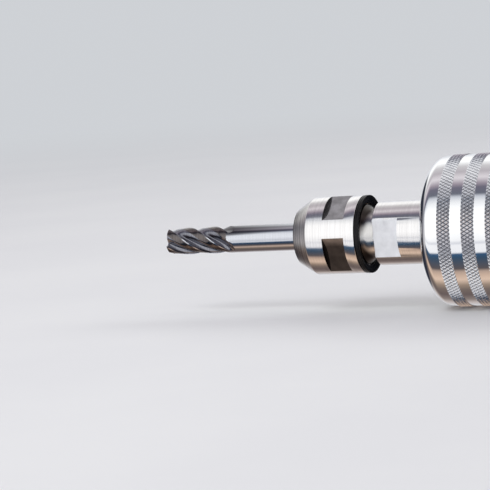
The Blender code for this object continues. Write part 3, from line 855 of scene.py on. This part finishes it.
def make_rear_rings(oxide, steel):
    """The dust ring, and the split snap ring behind it."""
    dust = [(95.4, 15.3, 0.2), (95.4, 20.6, 0.2), (96.2, 21.4, 0.35), (97.6, 20.0, 0.3), (97.6, 15.3, 0.2)]
    stands_for(turned("dust_cover", rounded(dust), behind, 144), "dust_ring", "black_oxide", oxide)
    snap = [(98.1, 14.2, 0.1), (98.1, 16.6, 0.25), (99.3, 16.6, 0.25), (99.3, 14.2, 0.1)]
    ring = turned("snap_ring_steel", rounded(snap), behind, 144)
    gap = box_cutter((behind(97.0), -1.5 * MM, 0.0), (behind(100.0), 1.5 * MM, 30 * MM))
    cut_away(ring, [gap], bevel=0.1)
    stands_for(ring, "snap_ring", "plain_steel", steel, steel)


def make_arbor(steel, milled):
    """Short taper, collar and Morse taper, with the tang milled on the tail and a centre hole in each end."""
    gauge = -NOSE / MM
    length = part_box("arbor")[1].x / MM
    tang_start = length - 20.0
    mt3_radius, mt3_slope = 11.9125, 0.0251
    front = gauge - 37.0
    corners = [
        (front + 2.5, 0.9, 0),
        (front, 2.6, 0.1),
        (front, 8.07, 0.6),
        (gauge - 6.0, 8.87, 0),
        (gauge - 5.7, 8.87, 0),
        (gauge - 5.7, mt3_radius, 0.1),
        (gauge - 5.0, mt3_radius + 0.6, 0.3),
        (gauge - 1.0, mt3_radius + 0.6, 0.3),
        (gauge, mt3_radius, 0.4),
        (gauge + tang_start, mt3_radius - tang_start * mt3_slope, 0.3),
        (gauge + tang_start + 0.5, 9.5, 0.3),
        (gauge + length, 9.5, 1.6),
        (gauge + length, 2.4, 0.1),
        (gauge + length - 2.5, 0.9, 0),
    ]
    arbor = turned("arbor_tapers", rounded(corners), behind, 160)
    half, run_out, steps = 3.95 * MM, 7.0 * MM, 14
    past_end = length * MM + CUT_REACH
    outline = [(tang_start * MM, CUT_REACH), (past_end, CUT_REACH), (past_end, half)]
    for angle in (k * math.pi / 2 / steps for k in range(steps + 1)):
        x = tang_start * MM + run_out * (1 - math.sin(angle))
        outline.append((x, half + run_out * (1 - math.cos(angle))))
    cutters = [prism_cutter(outline, CUT_REACH, side) for side in (0.0, math.pi)]
    cut_away(arbor, cutters, bevel=0.25)
    stands_for(arbor, "arbor", "ground_steel", steel, milled)


# ---------------------------------------------------------------- the held tool


def threaded_tube(node, name, start, end, crest, wall, depth, steel):
    """A thin tube with a right-hand thread on its outside (depth > 0) or its inside (depth < 0).

    It is an extra piece that rides with the CAD node.
    """
    pitch, sides, row_step, margin = 1.5, 128, 0.125, 0.01
    rows = np.linspace(start, end, int((end - start) / row_step) + 1)
    angles = (np.arange(sides) * math.tau / sides)[None, :]
    phase = rows[:, None] / pitch + angles / math.tau
    flank = np.clip(1.35 * triangle_wave(phase) - 0.12, 0.0, 1.0)
    from_end = np.minimum(rows - start, end - rows)[:, None] + margin
    fade = np.clip(from_end / pitch, 0.0, 1.0)
    threaded = crest - depth * (1.0 - flank * fade)
    plain = np.full((2, sides), crest - wall)
    radii = np.concatenate([threaded, plain]) * MM
    stations = np.concatenate([rows, [end, start]])[:, None]
    x = np.broadcast_to(ahead(stations), radii.shape)
    rings = np.stack([x, radii * np.cos(angles), radii * np.sin(angles)], -1)
    thread = facing_out(skin(name, rings, True))
    thread.data.materials.append(steel)
    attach(thread, frame["nodes"][node]["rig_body"])


def rough_flat_cutter(low, high, depth, turn):
    """Cuts a spanner flat that looks towards -Y before the turn, left a little uneven near its upper edge."""
    columns, rows = 25, 33
    half_height = CUT_REACH / 3
    bm = bmesh.new()
    grid = []
    for row in range(rows):
        z = half_height * (2 * row / (rows - 1) - 1)
        line = []
        for column in range(columns):
            x = low + (high - low) * column / (columns - 1)
            share = column / (columns - 1)
            uneven = 0.10 * math.sin(17 * share + 1.2) + 0.16 * math.sin(9.5 * share + 5.0)
            uneven += 0.05 * math.sin(41 * share + 300 * z)
            near_top = max(0.0, min(1.0, (z / MM - 2.5) / 4.0))
            ripple = 0.012 * math.sin(2300 * z + 6 * share)
            line.append(bm.verts.new((x, -depth + (uneven * near_top + ripple) * MM, z)))
        grid.append(line)
    for below, above in zip(grid, grid[1:]):
        for k in range(columns - 1):
            bm.faces.new((below[k], below[k + 1], above[k + 1], above[k]))
    rim = [line[0] for line in grid] + grid[-1][1:] + [line[-1] for line in grid[-2::-1]] + grid[0][-2:0:-1]
    outer = [bm.verts.new((v.co.x, -CUT_REACH, v.co.z)) for v in rim]
    for k, v in enumerate(rim):
        after = (k + 1) % len(rim)
        bm.faces.new((v, rim[after], outer[after], outer[k]))
    bm.faces.new(outer)
    bmesh.ops.recalc_face_normals(bm, faces=bm.faces)
    bmesh.ops.transform(bm, matrix=Matrix.Rotation(turn, 4, "X"), verts=bm.verts)
    return new_cutter(bm)


def make_holder(steel, flats, relief):
    """Shank, ground body with its two spanner flats, neck, and the core of the thread."""
    body_radius, shank_radius, neck_radius = 11.6, 6.0, 9.2
    front, shoulder = 41.0, 2.6
    corners = [
        (-42.0, 4.1, 0.2),
        (-42.0, shank_radius, 0.6),
        (shoulder, shank_radius, 0.1),
        (shoulder, body_radius, 0.5),
        (21.0, body_radius, 0.25),
        (21.0, neck_radius, 0.25),
        (23.6, neck_radius, 4.2),
        (25.6, 11.0, 0.15),
        (27.4, 11.0, 0.1),
        (28.0, 9.95, 0.1),
        (40.2, 9.95, 0.1),
        (front, 9.4, 0.2),
        (front, 8.18, 0.1),
        (22.6, 5.6, 0),
        (22.6, 4.1, 0),
    ]
    holder = turned("holder_ground_body", rounded(corners, 12), ahead, 192)
    low, high = ahead(21.5), ahead(11.3)
    clocking = math.radians(5.5)
    flat = 9.2 * MM
    cutters = [rough_flat_cutter(low, high, flat, clocking + side * math.pi) for side in (0, 1)]
    cut_away(holder, cutters, bevel=0.1)
    mark_faces(holder, 20.9, 26.2, 3)
    stands_for(holder, "holder_body", "ground_steel", steel, flats, flats, relief)
    threaded_tube("holder_body", "holder_thread", 27.6, 40.6, 11.0, 1.15, 0.92, steel)


def make_nut(steel, milled, walls, nose):
    """Conical nose, cylinder, and four closed-ended spanner flats."""
    corners = [
        (26.9, 11.65, 0.25),
        (26.9, NUT_RADIUS, 0.3),
        (45.56, NUT_RADIUS, 0.45),
        (51.9, 10.4, 0.45),
        (51.9, 6.97, 0.15),
        (49.0, 8.62, 0.1),
        (49.0, 10.3, 0.1),
        (45.0, 10.3, 0.1),
        (45.0, 11.65, 0.1),
    ]
    nut = turned("collet_nut_shell", rounded(corners, 5), ahead, 192)
    clocking = math.radians(30.4)
    low = (ahead(39.2), -CUT_REACH, 12.2 * MM)
    high = (ahead(30.9), CUT_REACH, CUT_REACH)
    cutters = [box_cutter(low, high, clocking + k * math.pi / 2) for k in range(4)]
    cut_away(nut, cutters, bevel=0.12)
    # The conical nose takes the fourth finish, a darker copy of the nut's steel: painted shade
    mark_faces(nut, 45.7, 52.5, 3)
    # The flats' end walls take the third finish, near black: painted shade
    stands_for(nut, "collet_nut", "ground_steel", steel, milled, walls, nose)
    threaded_tube("collet_nut", "nut_thread", 27.3, 44.8, 11.02, -0.6, -0.55, steel)


def make_back_ring(oxide):
    """A ring with a fine groove round it, dished on its rear."""
    corners = [
        (26.6, 11.4, 0.1),
        (26.6, NUT_RADIUS, 0.3),
        (25.75, NUT_RADIUS, 0.1),
        (25.65, NUT_RADIUS - 0.12, 0.05),
        (25.45, NUT_RADIUS - 0.12, 0.05),
        (25.35, NUT_RADIUS, 0.1),
        (25.0, NUT_RADIUS, 0.2),
        (25.0, NUT_RADIUS - 0.8, 0.15),
        (25.75, 11.4, 0.3),
    ]
    ring = turned("black_back_ring", rounded(corners, 4), ahead, 192)
    stands_for(ring, "back_ring", "black_oxide", oxide)


def make_collet(steel):
    """Two opposed cones with a pull-out groove, and slits from both ends."""
    cone = math.tan(math.radians(8.0))
    rear, front, taper_start = 25.9, 51.4, 45.4
    rear_radius = 8.5 - (taper_start - rear) * cone
    corners = [
        (front, 5.3, 0.2),
        (front, 6.9, 0.15),
        (48.6, 8.5, 0.15),
        (47.9, 8.5, 0.1),
        (47.9, 7.3, 0.1),
        (45.9, 7.3, 0.1),
        (45.9, 8.5, 0.1),
        (taper_start, 8.5, 0.1),
        (rear, rear_radius, 0.1),
        (rear, 5.3, 0.1),
    ]
    collet = turned("collet_cones", rounded(corners, 3), ahead, 128)
    half = 0.45 * MM
    spans = ((rear + 5.0, front + 1), (rear - 1, 43.0))
    cutters = []
    for k in range(4):
        start, end = spans[k % 2]
        low, high = (ahead(end), -half, -CUT_REACH), (ahead(start), half, CUT_REACH)
        cutters.append(box_cutter(low, high, math.radians(12) + k * math.pi / 4))
    cut_away(collet, cutters, bevel=0)
    stands_for(collet, "collet", "ground_steel", steel, steel)


def smooth_run(points, steps):
    """Points of a Catmull-Rom curve from the second of these points to the last but one."""
    run = []
    for a, b, c, d in zip(points, points[1:], points[2:], points[3:]):
        for t in np.arange(steps) / steps:
            curve = (2 * a - 5 * b + 4 * c - d) * t**2 + (3 * b - a - 3 * c + d) * t**3
            run.append(0.5 * (2 * b + (c - a) * t + curve))
    return run


def make_end_mill(ground, lands, fluted):
    """Four right-hand flutes with relieved teeth; the grinding wheel runs out of them towards the shank."""
    radius = 5.0
    tip, rear = ((NOSE - corner.x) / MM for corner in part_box("end_mill"))
    flute_length, run_out, teeth = 20.5, 7.0, 4
    between = 360 / teeth
    twist = math.tan(math.radians(37)) / radius
    # One tooth, from its cutting edge: degrees round, and share of the full radius
    land = ((0, 1.0), (5, 0.9985), (11, 0.990), (12, 0.986), (20, 0.968), (29, 0.949), (37.5, 0.934))
    gullet = ((38.6, 0.925), (46, 0.865), (55, 0.775), (64, 0.69), (73, 0.635), (80, 0.63), (86, 0.70))
    rake = ((90.4, 0.83), (90.2, 0.93))
    land_end = 38
    tooth = [np.array(p, float) for p in land]
    tooth += smooth_run([np.array(p, float) for p in gullet + rake[:1]], 4)
    tooth += [np.array(p, float) for p in (gullet[-1],) + rake]
    local = np.tile([p[0] for p in tooth], teeth)
    share = np.tile([p[1] for p in tooth], teeth)
    angle = np.radians(local + between * np.repeat(np.arange(teeth), len(tooth)) + MILL_CLOCKING)
    rings = []

    def ring(station, shares, turn):
        spoke = radius * shares * MM
        x = np.broadcast_to(ahead(station), angle.shape)
        rings.append(np.stack([x, spoke * np.cos(angle + turn), spoke * np.sin(angle + turn)], -1))

    # The hollow end: each tooth's end edge leads, and its face slopes back behind it
    for reach in (0.12, 0.4, 0.7, 0.96):
        hollow = 0.35 * (1 - reach) + 0.4675 * reach * np.radians(np.clip(local, 0, 88))
        ring(tip - hollow, share * reach, 0.0)
    front = tip - 0.02
    for along in np.linspace(0, flute_length, 64):
        ring(front - along, share, along * twist)
    # The lands stop first; the wheel leaves each gullet in a rounded scoop
    ends_at = np.interp(local, (0, 37.5, 38.6, 46, 55, 64, 77, 90), (4.2, 4.2, 4.6, 6.7, 7.0, 6.9, 6.1, 5.0))
    for past in np.linspace(0, run_out, 57)[1:]:
        lifted = 1.0 - (1.0 - share) * (1.0 - np.minimum(1.0, past / ends_at) ** 2)
        distance = flute_length + past
        ring(front - distance, lifted, distance * twist)
    whole = (flute_length + run_out) * twist
    for station, size in ((rear + 0.6, 1.0), (rear + 0.1, 0.93), (rear, 0.88)):
        ring(station, np.full(angle.shape, size), whole)
    mill = facing_out(skin("fluted_end_mill", rings, False, angle=32))
    stands_for(mill, "end_mill", "carbide", ground, lands, fluted)
    # What the grinding wheel cut away takes the lands' finish or the flutes'
    corners = mill.data.vertices
    uncut = 0.998 * radius * MM
    for face in mill.data.polygons:
        middle = face.center
        distance = (middle.x - ahead(tip)) / MM
        least = min(math.hypot(corners[v].co.y, corners[v].co.z) for v in face.vertices)
        if distance > flute_length + run_out or least > uncut:
            continue
        past_edge = math.degrees(math.atan2(middle.z, middle.y) - distance * twist) - MILL_CLOCKING
        face.material_index = 1 if past_edge % between < land_end else 2


def finish_inner_pieces(steel, oxide, ground, rubber):
    """The pieces that keep the CAD's shape, mostly hidden, take detailed finishes; jaws get broken edges."""
    finishes = {
        "sleeve_seal": rubber,
        "stop_screw": oxide,
        "extractor_ring": oxide,
        "ball_cage": turned_metal("satin_brass", (0.50, 0.34, 0.13), (0.74, 0.56, 0.26), 0.3, 1.2e-5),
    }
    for name, node in frame["nodes"].items():
        if node.hide_render:
            continue
        is_ball = name.startswith("ball_") and name != "ball_cage"
        node.data.materials.clear()
        node.data.materials.append(ground if is_ball else finishes.get(name, steel))
        if name.startswith("jaw_") and name != "jaw_guide":
            break_edges(node, 0.2, 25)


def main():
    make_stage()
    plate, oxide, rubber = chrome_plate(), black_oxide(), moulded_rubber()
    turned_steel = turned_metal("turned_steel", (0.76, 0.75, 0.75), (0.88, 0.87, 0.87), 0.13, 4e-6, 4200.0)
    body_steel = turned_metal("body_steel", (0.74, 0.73, 0.73), (0.86, 0.85, 0.85), 0.11, 2e-6, 7000.0)
    ground_steel = turned_metal("ground_steel", (0.64, 0.63, 0.63), (0.74, 0.73, 0.73), 0.11, 3e-6, 9000.0)
    # A darker copy of the nut's turned steel, for its conical nose: painted shade
    cone_steel_painted_shade = turned_metal("cone_steel_painted_shade", (0.38, 0.365, 0.36), (0.60, 0.585, 0.575), 0.16, 6e-6, 2600.0)
    plain_steel = turned_metal("plain_steel", (0.30, 0.30, 0.31), (0.46, 0.46, 0.47), 0.32, 1e-5)
    land_steel = turned_metal("land_steel", (0.085, 0.074, 0.072), (0.17, 0.152, 0.15), 0.14, 2e-6)
    milled_dark = milled_metal("milled_dark", (0.30, 0.30, 0.31), (0.47, 0.47, 0.49), 0.09, 2e-6)
    # The nut's flats carry painted shade below the axis
    nut_flats = milled_metal("nut_flats", (0.30, 0.30, 0.31), (0.48, 0.48, 0.50), 0.13, 3e-6, shade_below_axis=0.84)
    # Near black, for the end walls of the nut's flats: painted shade
    milled_wall_painted_shade = milled_metal("milled_wall_painted_shade", (0.012, 0.011, 0.012), (0.04, 0.036, 0.038), 0.26, 6e-6)
    milled_pale = milled_metal("milled_pale", (0.84, 0.85, 0.88), (0.94, 0.95, 0.98), 0.6, 2e-5, metallic=0.6)
    # The shank and the flutes carry painted shade along their top
    shank_steel = metal_with_painted_top_shade(
        "shank_steel", (0.56, 0.575, 0.62), (0.64, 0.66, 0.71), 0.11, 9000.0, (78, 0.86), (52, 0.25)
    )
    flute_steel = metal_with_painted_top_shade(
        "flute_steel", (0.15, 0.15, 0.17), (0.29, 0.295, 0.335), 0.17, 5200.0, (86, 0.0), (83.5, 0.9)
    )
    make_hood(plate)
    make_grip_sleeve(plate)
    make_chuck_body(plain_steel, milled_dark)
    make_rear_rings(oxide, plain_steel)
    make_arbor(ground_steel, milled_dark)
    make_holder(body_steel, milled_pale, cove_metal())
    make_nut(turned_steel, nut_flats, milled_wall_painted_shade, cone_steel_painted_shade)
    make_back_ring(oxide)
    make_collet(ground_steel)
    make_end_mill(shank_steel, land_steel, flute_steel)
    finish_inner_pieces(plain_steel, oxide, ground_steel, rubber)


main()
